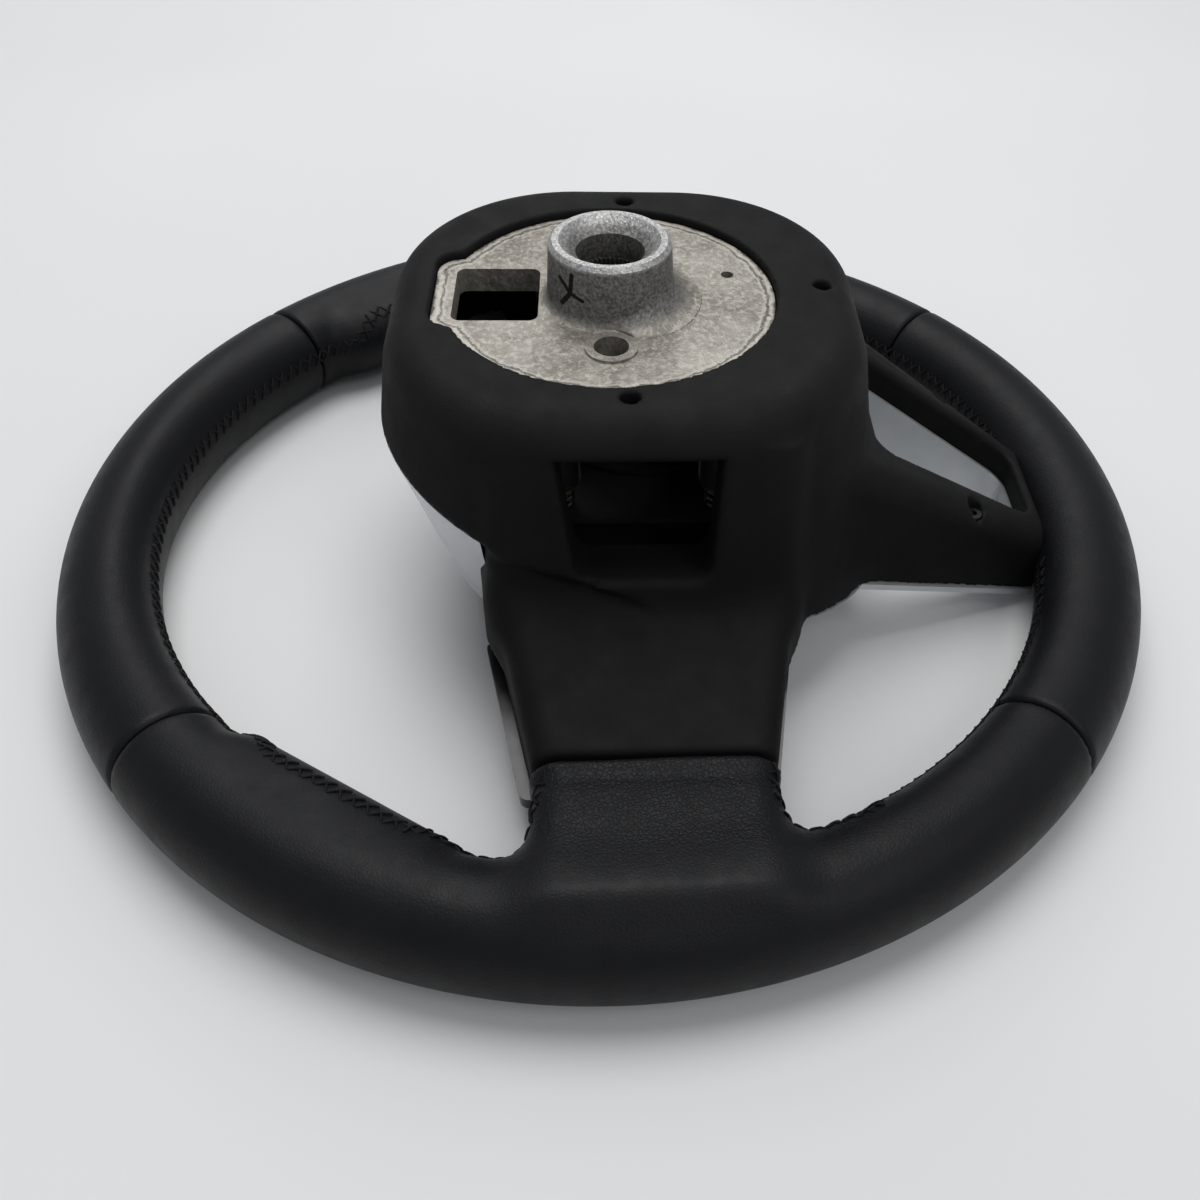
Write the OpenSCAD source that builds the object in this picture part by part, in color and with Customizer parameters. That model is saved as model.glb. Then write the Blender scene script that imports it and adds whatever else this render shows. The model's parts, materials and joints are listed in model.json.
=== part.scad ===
// Car steering wheel, lying on its rim with the steering column side up.
// +Z is the steering axis, towards the column. +Y points to 12 o'clock.
// The origin is on the floor, under the middle of the rim.
// Heights are above the rim's middle plane, unless a comment says otherwise.
// All sizes are in millimetres.

/* [Rim] */
// Outer diameter of the rim
rim_d = 370; // [350:1:390]
// Thickness of the grip
grip_d = 35; // [32:0.5:38]
// How much slimmer the grip is on its inner side at 12 o'clock
top_slim = 4.5; // [2:0.5:6]
// Thickness of the leather with its padding
leather_t = 1.4; // [1:0.1:2]
// Width of the cast ring inside the grip
ring_w = 13; // [10:1:15]
// Height of the cast ring inside the grip
ring_h = 16; // [12:1:18]
// Angle from 12 o'clock to each upper seam
upper_seam = 39; // [36:1:41]
// Angle from 12 o'clock to each lower seam
lower_seam = 140; // [135:1:150]
// Width of the groove at a seam
seam_gap = 0.4; // [0.3:0.1:0.8]

/* [Thumb rests] */
// Angle from 12 o'clock to the middle of a thumb rest
thumb_angle = 57; // [56:1:58]
// Radius of a thumb rest's round inner side
thumb_r = 14.5; // [13:0.5:16]
// Distance from the steering axis to a thumb rest's inner side
thumb_in = 141.5; // [140:0.5:144]
// Length of a thumb rest above its middle
thumb_up = 28; // [24:1:30]
// Length of a thumb rest below its middle
thumb_down = 36; // [30:1:40]

/* [Side spokes] */
// Distance from the steering axis to the end of the leather on a side spoke
lug_end = 122; // [118:1:126]
// Upper edge of a side spoke at the leather, from the axis
lug_y_top = 24; // [20:1:26]
// Lower edge of a side spoke at the leather, from the axis
lug_y_low = -46; // [-50:1:-42]
// Height of a side spoke's back surface at the leather
lug_back = 19; // [18:0.5:22]
// Height of a side spoke's front surface at the leather
lug_front = -8; // [-9:0.5:-6]
// Radius of the corners between a side spoke and the rim
lug_fillet = 15; // [12:1:18]
// Upper edge of a side spoke at the hub, from the axis
root_y_top = 38; // [36:1:40]
// Lower edge of a side spoke at the hub, from the axis
root_y_low = -56; // [-58:1:-54]
// Distance from the axis at which a side spoke turns up to the hub
knee_x = 78; // [76:1:80]
// Height of a side spoke's back surface at that knee
knee_back = 34; // [32:1:36]
// Upper edge of the opening between a side spoke's two struts
gap_y_top = 11; // [8:1:12]
// Lower edge of the opening between a side spoke's two struts
gap_y_low = -28; // [-30:1:-26]
// Height of the opening's edge on the spoke side
gap_front = 43; // [40:1:46]

/* [Lower spoke] */
// Half width of the lower spoke at the hub
low_root = 50; // [46:1:54]
// Half width of the lower spoke at the rim
low_tip = 27; // [24:1:30]
// Height of the lower spoke's back surface at the rim
low_tip_back = 12; // [10:1:14]
// Height of the lower spoke's back surface at the hub
low_root_back = 62; // [58:1:66]
// Height of the lower spoke's front surface at the hub
low_root_front = 15; // [13:1:17]
// Height of the lower spoke's front surface at the rim
low_tip_front = -12; // [-12.5:0.5:-10]
// Half width of the slot at its hub end
slot_root = 25; // [22:1:27]
// Half width of the slot at its rim end
slot_tip = 15.5; // [13:0.5:17]
// Distance from the axis to the slot's hub end
slot_start = 87; // [86:1:90]
// Distance from the axis to the slot's rim end
slot_end = 144; // [138:1:146]
// Depth of the bezel's sleeve under the lower spoke's back surface
sleeve_drop = 12; // [9:1:14]
// Wall of the bezel's sleeve
sleeve_t = 1.6; // [1.2:0.1:2]

/* [Hub] */
// Width of the hub across the side spokes, at its back
hub_w = 142; // [139:1:145]
// Length of the hub from 12 to 6 o'clock, at its back
hub_l = 143; // [140:1:146]
// How far the hub's middle lies towards 6 o'clock
hub_drop = 5; // [3:1:6]
// Radius of the hub's corners
hub_r = 55; // [52:1:57]
// Height of the hub's back face
hub_back = 93; // [92:0.5:95]
// Rounding of the hub's back edge
hub_edge = 10; // [8:1:12]
// How much the hub's wall widens for each millimetre towards the driver
hub_flare = 0.16; // [0.12:0.01:0.18]
// Thickness of the hub's wall
hub_wall = 10; // [9:0.5:11]
// Height of the bezel's front edge at the upper half of the hub
bezel_front = 5; // [4:0.5:7]

/* [Casting] */
// Radius of the bare metal that shows in the hub's back
bare_r = 51; // [49:1:53]
// Height of the bare metal's surface
bare_back = 90.5; // [89:0.5:91.5]
// Thickness of the cast plate
plate_t = 8; // [7:0.5:10]
// Height of the boss's end
boss_back = 110; // [106:1:114]
// Outer radius of the boss at its end
boss_r = 18.4; // [17:0.2:20]
// Outer radius of the boss's round foot
boss_foot = 22.5; // [21.5:0.5:24]
// Radius of the plain bore at the mouth of the boss
bore_r = 10.5; // [10:0.1:11]
// Length of the plain bore
bore_l = 8; // [6:0.5:10]
// Depth of the cone at the boss's mouth
cone_depth = 4; // [3:0.5:5]
// Number of splines in the boss
splines = 44; // [36:1:48]
// Depth of a spline
spline_depth = 0.9; // [0.7:0.1:1]
// Width of the connector window, across the side spokes
window_w = 30; // [26:1:32]
// Length of the connector window, from 12 to 6 o'clock
window_l = 26; // [22:1:28]
// Distance from the axis to the connector window
window_y = 22; // [21:0.5:24]
// Radius of the bolt hole beside the boss
bolt_hole_r = 5.2; // [4:0.1:6]
// Distance from the axis to that bolt hole
bolt_hole_x = -29; // [-31:0.5:-28]
// Radius of the locating hole
pilot_hole_r = 2; // [1.5:0.1:2.5]
// Width of a cast arm
arm_w = 11; // [9:0.5:12]
// Radius of the tool holes in the foam
tool_hole_r = 3; // [2.5:0.1:3.5]
// Distance from the axis to the screw holes in the lower spoke
screw_y = 120; // [118:1:122]
// Distance of those screw holes from the middle
screw_x = 30; // [29:0.5:31]

/* [Horn and airbag] */
// Distance between the guide pins, across the side spokes
pin_span = 92; // [90:1:94]
// Distance from the axis up to the upper guide pins
pin_y_top = 18; // [16:1:20]
// Distance from the axis down to the lower guide pins
pin_y_low = -34; // [-36:1:-32]
// Radius of a guide pin
pin_r = 3; // [2.5:0.1:3.5]
// Radial running clearance of a guide pin
pin_play = 0.05; // [0.03:0.01:0.08]
// How far the horn pad is pressed in
horn_travel = 2; // [1.5:0.1:2.5]
// Height of the airbag tray's back plate
tray_back = 46; // [44:0.5:48]
// Thickness of the airbag tray
tray_t = 1.6; // [1.2:0.1:2]
// Width of the airbag tray
tray_w = 80; // [76:1:81]
// Length of the airbag tray
tray_l = 88; // [84:1:90]
// Radius of the gas generator
inflator_r = 29; // [26:1:32]
// Gap round the horn pad
pad_gap = 1; // [0.8:0.1:1.5]
// Height of the horn pad's crown
pad_crown = -3; // [-5:0.5:0]
// Wall of the horn pad
pad_t = 3; // [2.5:0.1:4]

/* [Switches] */
// Distance from the axis to the middle of a switch pod
pod_x = 97; // [96:0.5:98]
// Width of a key
key_w = 28; // [24:1:30]
// Height of a key, from 12 to 6 o'clock
key_l = 11; // [9:0.5:12]
// How far a key is pressed in
key_travel = 1.2; // [0.8:0.1:1.6]
// Gap round a key
key_gap = 0.4; // [0.35:0.05:0.6]

/* [Hidden] */

rim_z = grip_d / 2;
grip_r = grip_d / 2;
rim_r = rim_d / 2 - grip_r;
top_in = rim_r - grip_r + top_slim;
slim_shift = top_slim / (1 - cos(upper_seam));
spoke_y = (root_y_top + root_y_low) / 2;
gap_spread = 5;
strut_foot = 18;
low_rim_y = rim_r - grip_r;
low_slope = (low_root_back - low_tip_back) / (low_rim_y - hub_l / 2);
low_fall = (low_root_front - low_tip_front) / (low_rim_y - hub_l / 2);
hub_edge_y = hub_l / 2 + hub_drop;
spring_gap = 9;
contact_t = 1.2;
post_end = tray_back + spring_gap + contact_t;
plate_front = bare_back - plate_t;
plate_back = bare_back - 3;
window_x = 1;
window_edge = 6;
cover_t = 2.4;
key_pitch = key_l + 2 * key_gap + 0.8;
trim_t = 4;
trim_gap = 0.05;
bush_wall = 2.2;
bush_r = pin_r + pin_play + bush_wall;
bush_l = 18;
screw_r = 1.9;
smooth = 96;
bezel_t = 3;
bezel_land = 2.5;
joint_gap = 0.3;
bezel_front_low = bezel_front - 6;
pad_inset = 15;
pad_skirt = 28;
pad_wall = 34;
tray_y = (pin_y_top + pin_y_low) / 2;
tray_front = 20;
inflator_front = tray_back - 12;
arm_depth = 9;
low_arm_w = arm_w - 3;
arm_h = 10;
post_h = low_back(screw_y) - arm_depth - arm_h - 3 - low_front(screw_y);
side_root_front = 6;
side_fall = (side_root_front - lug_front - trim_t) / (lug_end + 14 - knee_x);
side_tilt = atan(side_fall);

module at_rim() { translate([0, 0, rim_z]) children(); }

module both_sides() {
    children();
    mirror([1, 0, 0]) children();
}

// Pie slice between two angles that run from 12 o'clock towards -X
module slice(from, to, r = rim_d, h = grip_d * 3) {
    rotate([0, 0, 90 + from])
        rotate_extrude(angle = to - from, $fn = smooth)
            translate([rim_r / 3, -h / 2]) square([r, h]);
}

// Round rim, pulled in by t all round, with its slimmer inner side at 12 o'clock
module rim_form(t) {
    difference() {
        rotate([0, 0, -60]) rotate_extrude($fn = smooth * 2)
            translate([rim_r, 0]) circle(grip_r - t, $fn = 64);
        translate([0, slim_shift, -grip_d]) rotate([0, 0, -100])
            cylinder(h = grip_d * 2, r = top_in - slim_shift + t, $fn = smooth * 2);
    }
}

// Straight bar with one round end inside the rim, which makes the thumb rest
module thumb_form(t) {
    rotate([0, 0, 90 + thumb_angle])
        translate([thumb_in + thumb_r, 0, 0]) {
            translate([0, -thumb_up, 0]) sphere(thumb_r - t, $fn = 64);
            translate([0, -thumb_up, 0]) rotate([-90, 0, 0])
                cylinder(h = thumb_up + thumb_down, r = thumb_r - t, $fn = 64);
            translate([0, thumb_down, 0]) sphere(thumb_r - t, $fn = 64);
        }
}

module rounded_rect(w, l, r) {
    square([w - 2 * r, l], center = true);
    square([w, l - 2 * r], center = true);
    for (x = [-1, 1], y = [-1, 1])
        translate([x * (w / 2 - r), y * (l / 2 - r)]) circle(r, $fn = 48);
}

// Root of a side spoke on the -X side, round-edged, with hollow corners at the rim
module lug_form(t) {
    high = lug_back - lug_front - 2 * t;
    wide = lug_y_top - lug_y_low - 2 * t;
    mid_z = (lug_back + lug_front) / 2;
    mid_y = (lug_y_top + lug_y_low) / 2;
    start = lug_end - (t > 0 ? 0.6 : 0);
    translate([-start, mid_y, mid_z]) rotate([90, 0, -90])
        linear_extrude(rim_r - start) rounded_rect(wide, high, 9);
    translate([0, 0, mid_z - high / 2 + 3]) linear_extrude(high - 6)
        intersection() {
            offset(r = -lug_fillet + t, $fn = 64) offset(r = lug_fillet - t, $fn = 64) {
                difference() {
                    circle(rim_r, $fn = smooth * 2);
                    circle(rim_r - grip_r + 2 + t, $fn = smooth * 2);
                }
                translate([-rim_r, mid_y - wide / 2])
                    square([rim_r - lug_end, wide]);
            }
            translate([-rim_r + 3, mid_y - wide]) square([rim_r - lug_end - 6, 2 * wide]);
        }
}

// Thumb rest and spoke root on the -X side
module side_form(t) {
    thumb_form(t);
    lug_form(t);
}

// Outline of the hub: four corners, each a stack of discs with a round back edge
module hub_form(inset, front, back, edge) {
    cx = hub_w / 2 - hub_r;
    cy = hub_l / 2 - hub_r;
    hull() for (x = [-cx, cx], y = [-cy, cy]) translate([x, y - hub_drop, 0]) {
        r = hub_r - inset;
        translate([0, 0, front])
            cylinder(h = 0.01, r = r + hub_flare * (hub_back - front), $fn = 64);
        for (a = [0 : 18 : 90])
            translate([0, 0, back - edge * (1 - sin(a)) - 0.01])
                cylinder(h = 0.01, r = r - edge * (1 - cos(a)) + hub_flare * (hub_back - back + edge) * cos(a),
                         $fn = 64);
    }
}

// Height of a side spoke's foam on its front, at distance x from the axis
function side_front(x) = lug_front + trim_t + side_fall * (lug_end + 6 - x);

// Layer under the slanting joint between foam and bezel, which follows the lower spoke's front
module joint_layer(lift, t) {
    y = hub_l;
    translate([-hub_w, 0, lift]) rotate([90, 0, 90]) linear_extrude(2 * hub_w)
        polygon([[-y, low_front(y)], [y, low_front(-y)], [y, low_front(-y) - t], [-y, low_front(y) - t]]);
}

module hub_outline(inset) {
    translate([0, -hub_drop]) rounded_rect(hub_w - 2 * inset, hub_l - 2 * inset, hub_r - inset);
}

// Space inside the hub for the airbag and the cast plate
module hub_cavity(front) {
    translate([0, 0, front]) linear_extrude(plate_back - front) hub_outline(hub_wall);
}

// Height of the lower spoke's back and front surface at distance y from the axis
function low_back(y) = low_tip_back + low_slope * (low_rim_y - y);
function low_front(y) = low_tip_front + low_fall * (low_rim_y - y);

// Half width of the lower spoke at distance y from the axis
function low_half(y) = low_tip + (low_root - low_tip) * (low_rim_y - y) / (low_rim_y - hub_l / 2);

// Section of a spoke: a plate with two rounded corners at its back
module spoke_section(half, front, back, r) {
    rotate([90, 0, 0]) linear_extrude(0.01) {
        translate([-half, front]) square([2 * half, back - front - r]);
        translate([-half + r, front]) square([2 * half - 2 * r, back - front]);
        for (s = [-1, 1]) translate([s * (half - r), back - r]) circle(r, $fn = 32);
    }
}

module low_spoke_form() {
    intersection() {
        hull() {
            translate([0, -60, 0]) spoke_section(low_half(60), low_front(60), low_back(60), 11);
            translate([0, -low_rim_y + 3, 0])
                spoke_section(low_half(low_rim_y - 3), low_front(low_rim_y - 3), low_back(low_rim_y - 3), 7);
            translate([0, -low_rim_y - 1, 0])
                spoke_section(low_tip - 2, low_tip_front, low_tip_back - 3, 6);
        }
        rotate([0, 0, 30]) translate([0, 0, -30]) cylinder(h = 130, r = rim_r - grip_r - 0.1, $fn = smooth * 2);
    }
}

module slot_outline(grow) {
    offset(r = grow, $fn = 32) offset(r = 5, $fn = 32) offset(delta = -5)
        polygon([[-slot_root, -slot_start], [slot_root, -slot_start],
                 [slot_tip, -slot_end], [-slot_tip, -slot_end]]);
}

// Struts that rise from a side spoke into the hub's wall, before the gap is cut
module strut_form() {
    wide = root_y_top - root_y_low;
    hull() {
        translate([-knee_x + 12, spoke_y, strut_foot]) linear_extrude(0.01) rounded_rect(28, wide, 8);
        translate([-knee_x + 12, spoke_y, knee_back - 3]) linear_extrude(0.01) rounded_rect(25, wide, 8);
        translate([-54, spoke_y, hub_back - 10]) linear_extrude(0.01) rounded_rect(27, wide - 2, 8);
    }
}

module side_spoke_form() {
    root_half = (root_y_top - root_y_low) / 2;
    lug_half = (lug_y_top - lug_y_low) / 2;
    hull() {
        translate([-knee_x + 14, spoke_y, 0]) rotate([0, 0, 90])
            spoke_section(root_half, side_front(knee_x - 14) + trim_gap, knee_back + 4, 8);
        translate([-lug_end + 0.1, (lug_y_top + lug_y_low) / 2, 0]) rotate([0, 0, 90])
            spoke_section(lug_half, side_front(lug_end - 0.1) + trim_gap, lug_back, 8);
    }
}

// Cast arm from the plate in the hub to the ring in the rim: its profile, cut to its outline
// from above, which runs from height y0 at the hub to y1 in the leather
module side_arm(y0, y1) {
    w = arm_w / 2;
    intersection() {
        translate([0, hub_l / 2, 0]) rotate([90, 0, 0]) linear_extrude(hub_l)
            polygon([[-46, plate_front + 3.5], [-59, plate_front + 2.5], [-64, plate_front - 6],
                     [-knee_x + 3, knee_back - 3], [-96, 20], [-lug_end, 11], [-rim_r + 5, 5],
                     [-rim_r + 5, -5], [-lug_end, 3], [-94, 10], [-knee_x + 10, knee_back - 9],
                     [-55, plate_front - 10], [-46, plate_front - 3]]);
        translate([0, 0, -10]) linear_extrude(plate_front + 20)
            polygon([[-44, y0 - w], [-knee_x, y0 - w], [-lug_end + 2, y1 - w], [-rim_r, y1 - w],
                     [-rim_r, y1 + w], [-lug_end + 2, y1 + w], [-knee_x, y0 + w], [-44, y0 + w]]);
    }
}

// Arm of the lower spoke: its profile from the side, cut to its outline from above
module low_arm() {
    w = low_arm_w / 2;
    x0 = low_root - 14;
    x1 = (slot_tip + sleeve_t + low_half(slot_end)) / 2 - 0.8;
    intersection() {
        rotate([90, 0, 90]) linear_extrude(low_root)
            polygon([[-46, plate_front + 3.5], [-60, plate_front - 1], [-80, low_back(80) - arm_depth],
                     [-129, low_back(129) - arm_depth], [-low_rim_y, low_back(low_rim_y) - 7],
                     [-rim_r + 2, 5], [-rim_r + 2, -4], [-140, low_back(140) - arm_depth - arm_h + 1],
                     [-128, low_back(128) - arm_depth - arm_h], [-80, low_back(80) - arm_depth - arm_h],
                     [-57, plate_front - 15], [-46, plate_front - 5]]);
        translate([0, 0, -10]) linear_extrude(plate_front + 20)
            polygon([[x0 - 2 - w, -44], [x0 - w, -84], [screw_x - w, -screw_y], [x1 - w, -slot_end],
                     [x1 - 8 - w, -rim_r + 1], [x1 - 8 + w, -rim_r + 1], [x1 + w, -slot_end],
                     [screw_x + w, -screw_y], [x0 + w, -84], [x0 - 2 + w, -44]]);
    }
}

module cast_ring() {
    rotate([0, 0, -60]) rotate_extrude($fn = smooth * 2) translate([rim_r, 0]) difference() {
        polygon([[-ring_w / 2, -ring_h / 2], [ring_w / 2, -ring_h / 2],
                 [ring_w / 2 - 1.5, ring_h / 2], [-ring_w / 2 + 1.5, ring_h / 2]]);
        polygon([[-ring_w / 2 + 3.5, -ring_h], [ring_w / 2 - 3.5, -ring_h],
                 [ring_w / 2 - 4, ring_h / 4], [-ring_w / 2 + 4, ring_h / 4]]);
    }
}

// Bare metal that shows: a round field with a square lobe round the window
module bare_outline(grow) {
    circle(bare_r + grow, $fn = smooth);
    translate([window_x, window_y + window_l / 2 + 1])
        rounded_rect(window_w + 2 * window_edge + 2 * grow, window_l + 2 * window_edge + 2 * grow - 2, 8);
}

module window_outline() {
    translate([window_x, window_y + window_l / 2]) rounded_rect(window_w, window_l, 3);
}

module boss_solid() {
    foot_r = boss_foot - boss_r - 1;
    rotate_extrude($fn = smooth) polygon(concat(
        [[0, plate_front], [boss_foot, plate_front], [boss_foot, bare_back]],
        [for (a = [0 : 15 : 90]) [boss_foot - foot_r * sin(a), bare_back + foot_r * (1 - cos(a))]],
        [[boss_r + 0.2, boss_back - 1.2], [boss_r - 1, boss_back], [0, boss_back]]));
}

module spline_outline() {
    root_r = bore_r - 0.2;
    tip_r = root_r - spline_depth;
    step = 360 / splines;
    polygon([for (i = [0 : splines - 1], k = [0 : 3])
        let (r = (k == 0 || k == 3) ? tip_r : root_r,
             a = step * (i + [0.2, 0.4, 0.8, 1][k]))
        [r * cos(a), r * sin(a)]]);
}

module boss_hole() {
    cone_r = boss_r - 3;
    translate([0, 0, plate_front - 1]) linear_extrude(boss_back - plate_front) spline_outline();
    translate([0, 0, boss_back - cone_depth - bore_l])
        cylinder(h = bore_l + cone_depth + 1, r = bore_r, $fn = smooth);
    translate([0, 0, boss_back - cone_depth])
        cylinder(h = cone_depth + 0.01, r1 = bore_r, r2 = cone_r, $fn = smooth);
}

module guide_places() {
    for (x = [-pin_span / 2, pin_span / 2], y = [pin_y_top, pin_y_low])
        translate([x, y, 0]) children();
}

module cast_arms() {
    both_sides() {
        side_arm((root_y_top + gap_y_top) / 2, lug_y_top - leather_t - arm_w / 2 - 1.1);
        side_arm((root_y_low + gap_y_low) / 2, lug_y_low + leather_t + arm_w / 2 + 3);
        low_arm();
    }
}

// Casting without its holes
module casting_solid() {
    cast_ring();
    cast_arms();
    translate([0, 0, plate_front]) linear_extrude(plate_back - plate_front) hub_outline(hub_wall);
    translate([0, 0, plate_front]) linear_extrude(plate_t) bare_outline(0);
    boss_solid();
    translate([bolt_hole_x, 0, plate_front])
        cylinder(h = plate_t + 0.8, r1 = bolt_hole_r + 3.4, r2 = bolt_hole_r + 2.6, $fn = 48);
    guide_places() translate([0, 0, post_end])
        cylinder(h = plate_front - post_end + 1, r = bush_r + 3, $fn = 48);
}

module armature() {
    color([0.66, 0.64, 0.6]) at_rim() difference() {
        casting_solid();
        boss_hole();
        translate([0, 0, plate_front - 1]) linear_extrude(plate_t + 6) window_outline();
        translate([bolt_hole_x, 0, plate_front - 1])
            cylinder(h = plate_t + 4, r = bolt_hole_r, $fn = 48);
        translate([13, -37, plate_front - 1]) cylinder(h = plate_t + 2, r = pilot_hole_r, $fn = 32);
        guide_places() translate([0, 0, post_end - 1])
            cylinder(h = plate_front - post_end, r = bush_r, $fn = 48);
        screw_places() cylinder(h = 60, r = screw_r + 0.1, $fn = 32);
    }
}

// Screw holes of the lower spoke, from the bezel up
module screw_places() {
    for (s = [-1, 1]) translate([s * screw_x, -screw_y, low_front(screw_y)]) children();
}

module tool_holes() {
    both_sides() translate([-hub_w / 2 + 15.4, -hub_drop, hub_back - 8])
        cylinder(h = 20, r = tool_hole_r, $fn = 32);
    translate([3, -hub_edge_y + 10.3, hub_back - 8]) cylinder(h = 20, r = tool_hole_r, $fn = 32);
    for (s = [-1, 1]) translate([s * screw_x, -screw_y, low_back(screw_y) - arm_depth - 0.5])
        cylinder(h = 30, r = tool_hole_r, $fn = 32);
}

// Opening between the struts of the -X side spoke, wider towards the column
module strut_gap() {
    top = plate_front - 0.5;
    translate([-knee_x - 30, 0, 0]) rotate([90, 0, 90]) linear_extrude(60)
        offset(r = 4, $fn = 32) offset(delta = -4)
            polygon([[gap_y_low, gap_front], [gap_y_top, gap_front],
                     [gap_y_top + gap_spread, top], [gap_y_low - gap_spread / 2, top]]);
}

module foam_body() {
    color([0.1, 0.1, 0.105]) at_rim() difference() {
        union() {
            difference() {
                hub_form(0, low_front(hub_l / 2 + hub_r), hub_back, hub_edge);
                joint_layer(joint_gap, 100);
            }
            both_sides() {
                strut_form();
                side_spoke_form();
            }
            low_spoke_form();
            translate([-low_tip + 2, -rim_r + grip_r / 2, -ring_h / 2])
                cube([2 * low_tip - 4, grip_r, ring_h]);
            rim_form(leather_t);
            both_sides() side_form(leather_t);
        }
        hub_cavity(-20);
        translate([0, 0, plate_back - 1]) linear_extrude(20) bare_outline(0.4);
        cast_arms();
        cast_ring();
        both_sides() {
            strut_gap();
            pod_pocket();
        }
        translate([0, 0, -30]) linear_extrude(120) slot_outline(sleeve_t + 0.2);
        screw_places() translate([0, 0, -10]) cylinder(h = post_h + 10.2, r = 5, $fn = 32);
        screw_places() cylinder(h = 60, r = screw_r + 0.1, $fn = 32);
        tool_holes();
    }
}

seam_angle = seam_gap / 2 / rim_r * 180 / PI;

module leather_band(from, to) {
    color([0.13, 0.13, 0.14]) at_rim() difference() {
        intersection() {
            rim_form(0);
            slice(from + seam_angle, to - seam_angle);
        }
        rim_form(leather_t);
    }
}

module leather_upper() { leather_band(-upper_seam, upper_seam); }

module leather_lower() {
    difference() {
        leather_band(lower_seam, 360 - lower_seam);
        translate([-low_tip + 2, -rim_r + grip_r / 2, rim_z - ring_h / 2])
            cube([2 * low_tip - 4, grip_r, ring_h]);
    }
}

// The driver's right hand is on the -X side
module leather_right() {
    color([0.13, 0.13, 0.14]) at_rim() difference() {
        intersection() {
            union() {
                rim_form(0);
                side_form(0);
            }
            slice(upper_seam + seam_angle, lower_seam - seam_angle);
        }
        rim_form(leather_t);
        side_form(leather_t);
    }
}

module leather_left() { mirror([1, 0, 0]) leather_right(); }

// Outer skin of the hub's front, which draws in from the slanting joint to the pad
module bezel_form(inset, lift) {
    hull() {
        intersection() {
            hub_form(inset, -20, hub_back, hub_edge);
            joint_layer(lift - joint_gap / 3, 0.02);
        }
        for (x = [-1, 1], s = [-1, 1])
            translate([x * (hub_w / 2 - hub_r), s * (hub_l / 2 - hub_r) - hub_drop,
                       lift + (s > 0 ? bezel_front : bezel_front_low)])
                cylinder(h = 0.01, r = hub_r - pad_inset + pad_gap + bezel_land - inset, $fn = 64);
    }
}

// Plate or wall that follows the lower spoke's slope between two height lines
module low_layer(y0, y1, z0, z1, w) {
    translate([-w, 0, 0]) rotate([90, 0, 90]) linear_extrude(2 * w)
        polygon([[-y0, z0[0]], [-y1, z0[1]], [-y1, z1[1]], [-y0, z1[0]]]);
}

module low_outline(y0, y1, grow) {
    offset(r = 4, $fn = 32) offset(delta = -4) polygon([
        [-low_half(y0) - grow, -y0], [low_half(y0) + grow, -y0],
        [low_half(y1) + grow, -y1], [-low_half(y1) - grow, -y1]]);
}

// Ring round the hub's front and the cover of the lower spoke, in one moulding
module front_bezel() {
    y0 = hub_l / 2 - 5.4;
    y1 = low_rim_y;
    color([0.62, 0.64, 0.66]) at_rim() difference() {
        union() {
            difference() {
                bezel_form(0, 0);
                bezel_form(bezel_t, bezel_t);
                both_sides() {
                    translate([-hub_w, root_y_low - 0.4, side_front(hub_w / 2) - 0.5])
                        cube([hub_w - knee_x + 17, root_y_top - root_y_low + 0.8, 60]);
                    translate([-hub_w, root_y_low - 0.4, strut_foot - 5])
                        cube([hub_w - knee_x + 27, root_y_top - root_y_low + 0.8, 60]);
                }
            }
            intersection() {
                low_layer(y0, y1, [low_front(y0) - cover_t, low_front(y1) - cover_t],
                          [low_front(y0) - 0.05, low_front(y1) - 0.05], hub_w);
                translate([0, 0, -40]) linear_extrude(100) low_outline(y0, y1, 1);
            }
            intersection() {
                low_layer(slot_start - 4, slot_end + 4,
                          [low_front(slot_start - 4) - cover_t, low_front(slot_end + 4) - cover_t],
                          [low_back(slot_start - 4) - sleeve_drop, low_back(slot_end + 4) - sleeve_drop],
                          hub_w);
                translate([0, 0, -40]) linear_extrude(120) slot_outline(sleeve_t);
            }
            screw_places() cylinder(h = post_h, r = 4.4, $fn = 32);
        }
        translate([0, 0, -40]) linear_extrude(140) slot_outline(0);
        translate([0, 0, -40]) linear_extrude(140) hub_outline(pad_inset - pad_gap);
        screw_places() translate([0, 0, post_h - 9]) cylinder(h = 10, r = screw_r, $fn = 32);
    }
}

// Places a switch pod: its own +Z points away from the driver, square to the trim
module at_pod() {
    translate([-pod_x, spoke_y, side_front(pod_x) - trim_t / cos(side_tilt)])
        rotate([0, -side_tilt, 0]) children();
}

module key_rows() {
    for (i = [-1, 0, 1]) translate([0, i * key_pitch, 0]) children();
}

module trim_outline() {
    x0 = knee_x - 12;
    x1 = lug_end - 0.8;
    offset(r = 3, $fn = 32) offset(delta = -3) polygon([
        [-x0, root_y_top + 3], [-x0, root_y_low - 0.5],
        [-x1, lug_y_low - 1.5], [-x1, lug_y_top + 4]]);
}

// Gloss cover of a side spoke's front, with an opening for each key
module spoke_trim_right() {
    x0 = knee_x - 20;
    x1 = lug_end + 10;
    color([0.02, 0.02, 0.02]) at_rim() difference() {
        intersection() {
            translate([0, hub_l, 0]) rotate([90, 0, 0]) linear_extrude(hub_l * 2)
                polygon([[-x0, side_front(x0)], [-x1, side_front(x1)],
                         [-x1, side_front(x1) - trim_t], [-x0, side_front(x0) - trim_t]]);
            translate([0, 0, -60]) linear_extrude(120) trim_outline();
        }
        at_pod() translate([0, 0, -4]) key_rows()
            linear_extrude(20) rounded_rect(key_w + 2 * key_gap, key_l + 2 * key_gap, 2.4);
        translate([0, 0, -60]) linear_extrude(120) hub_outline(-4);
    }
}

module spoke_trim_left() { mirror([1, 0, 0]) spoke_trim_right(); }

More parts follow.
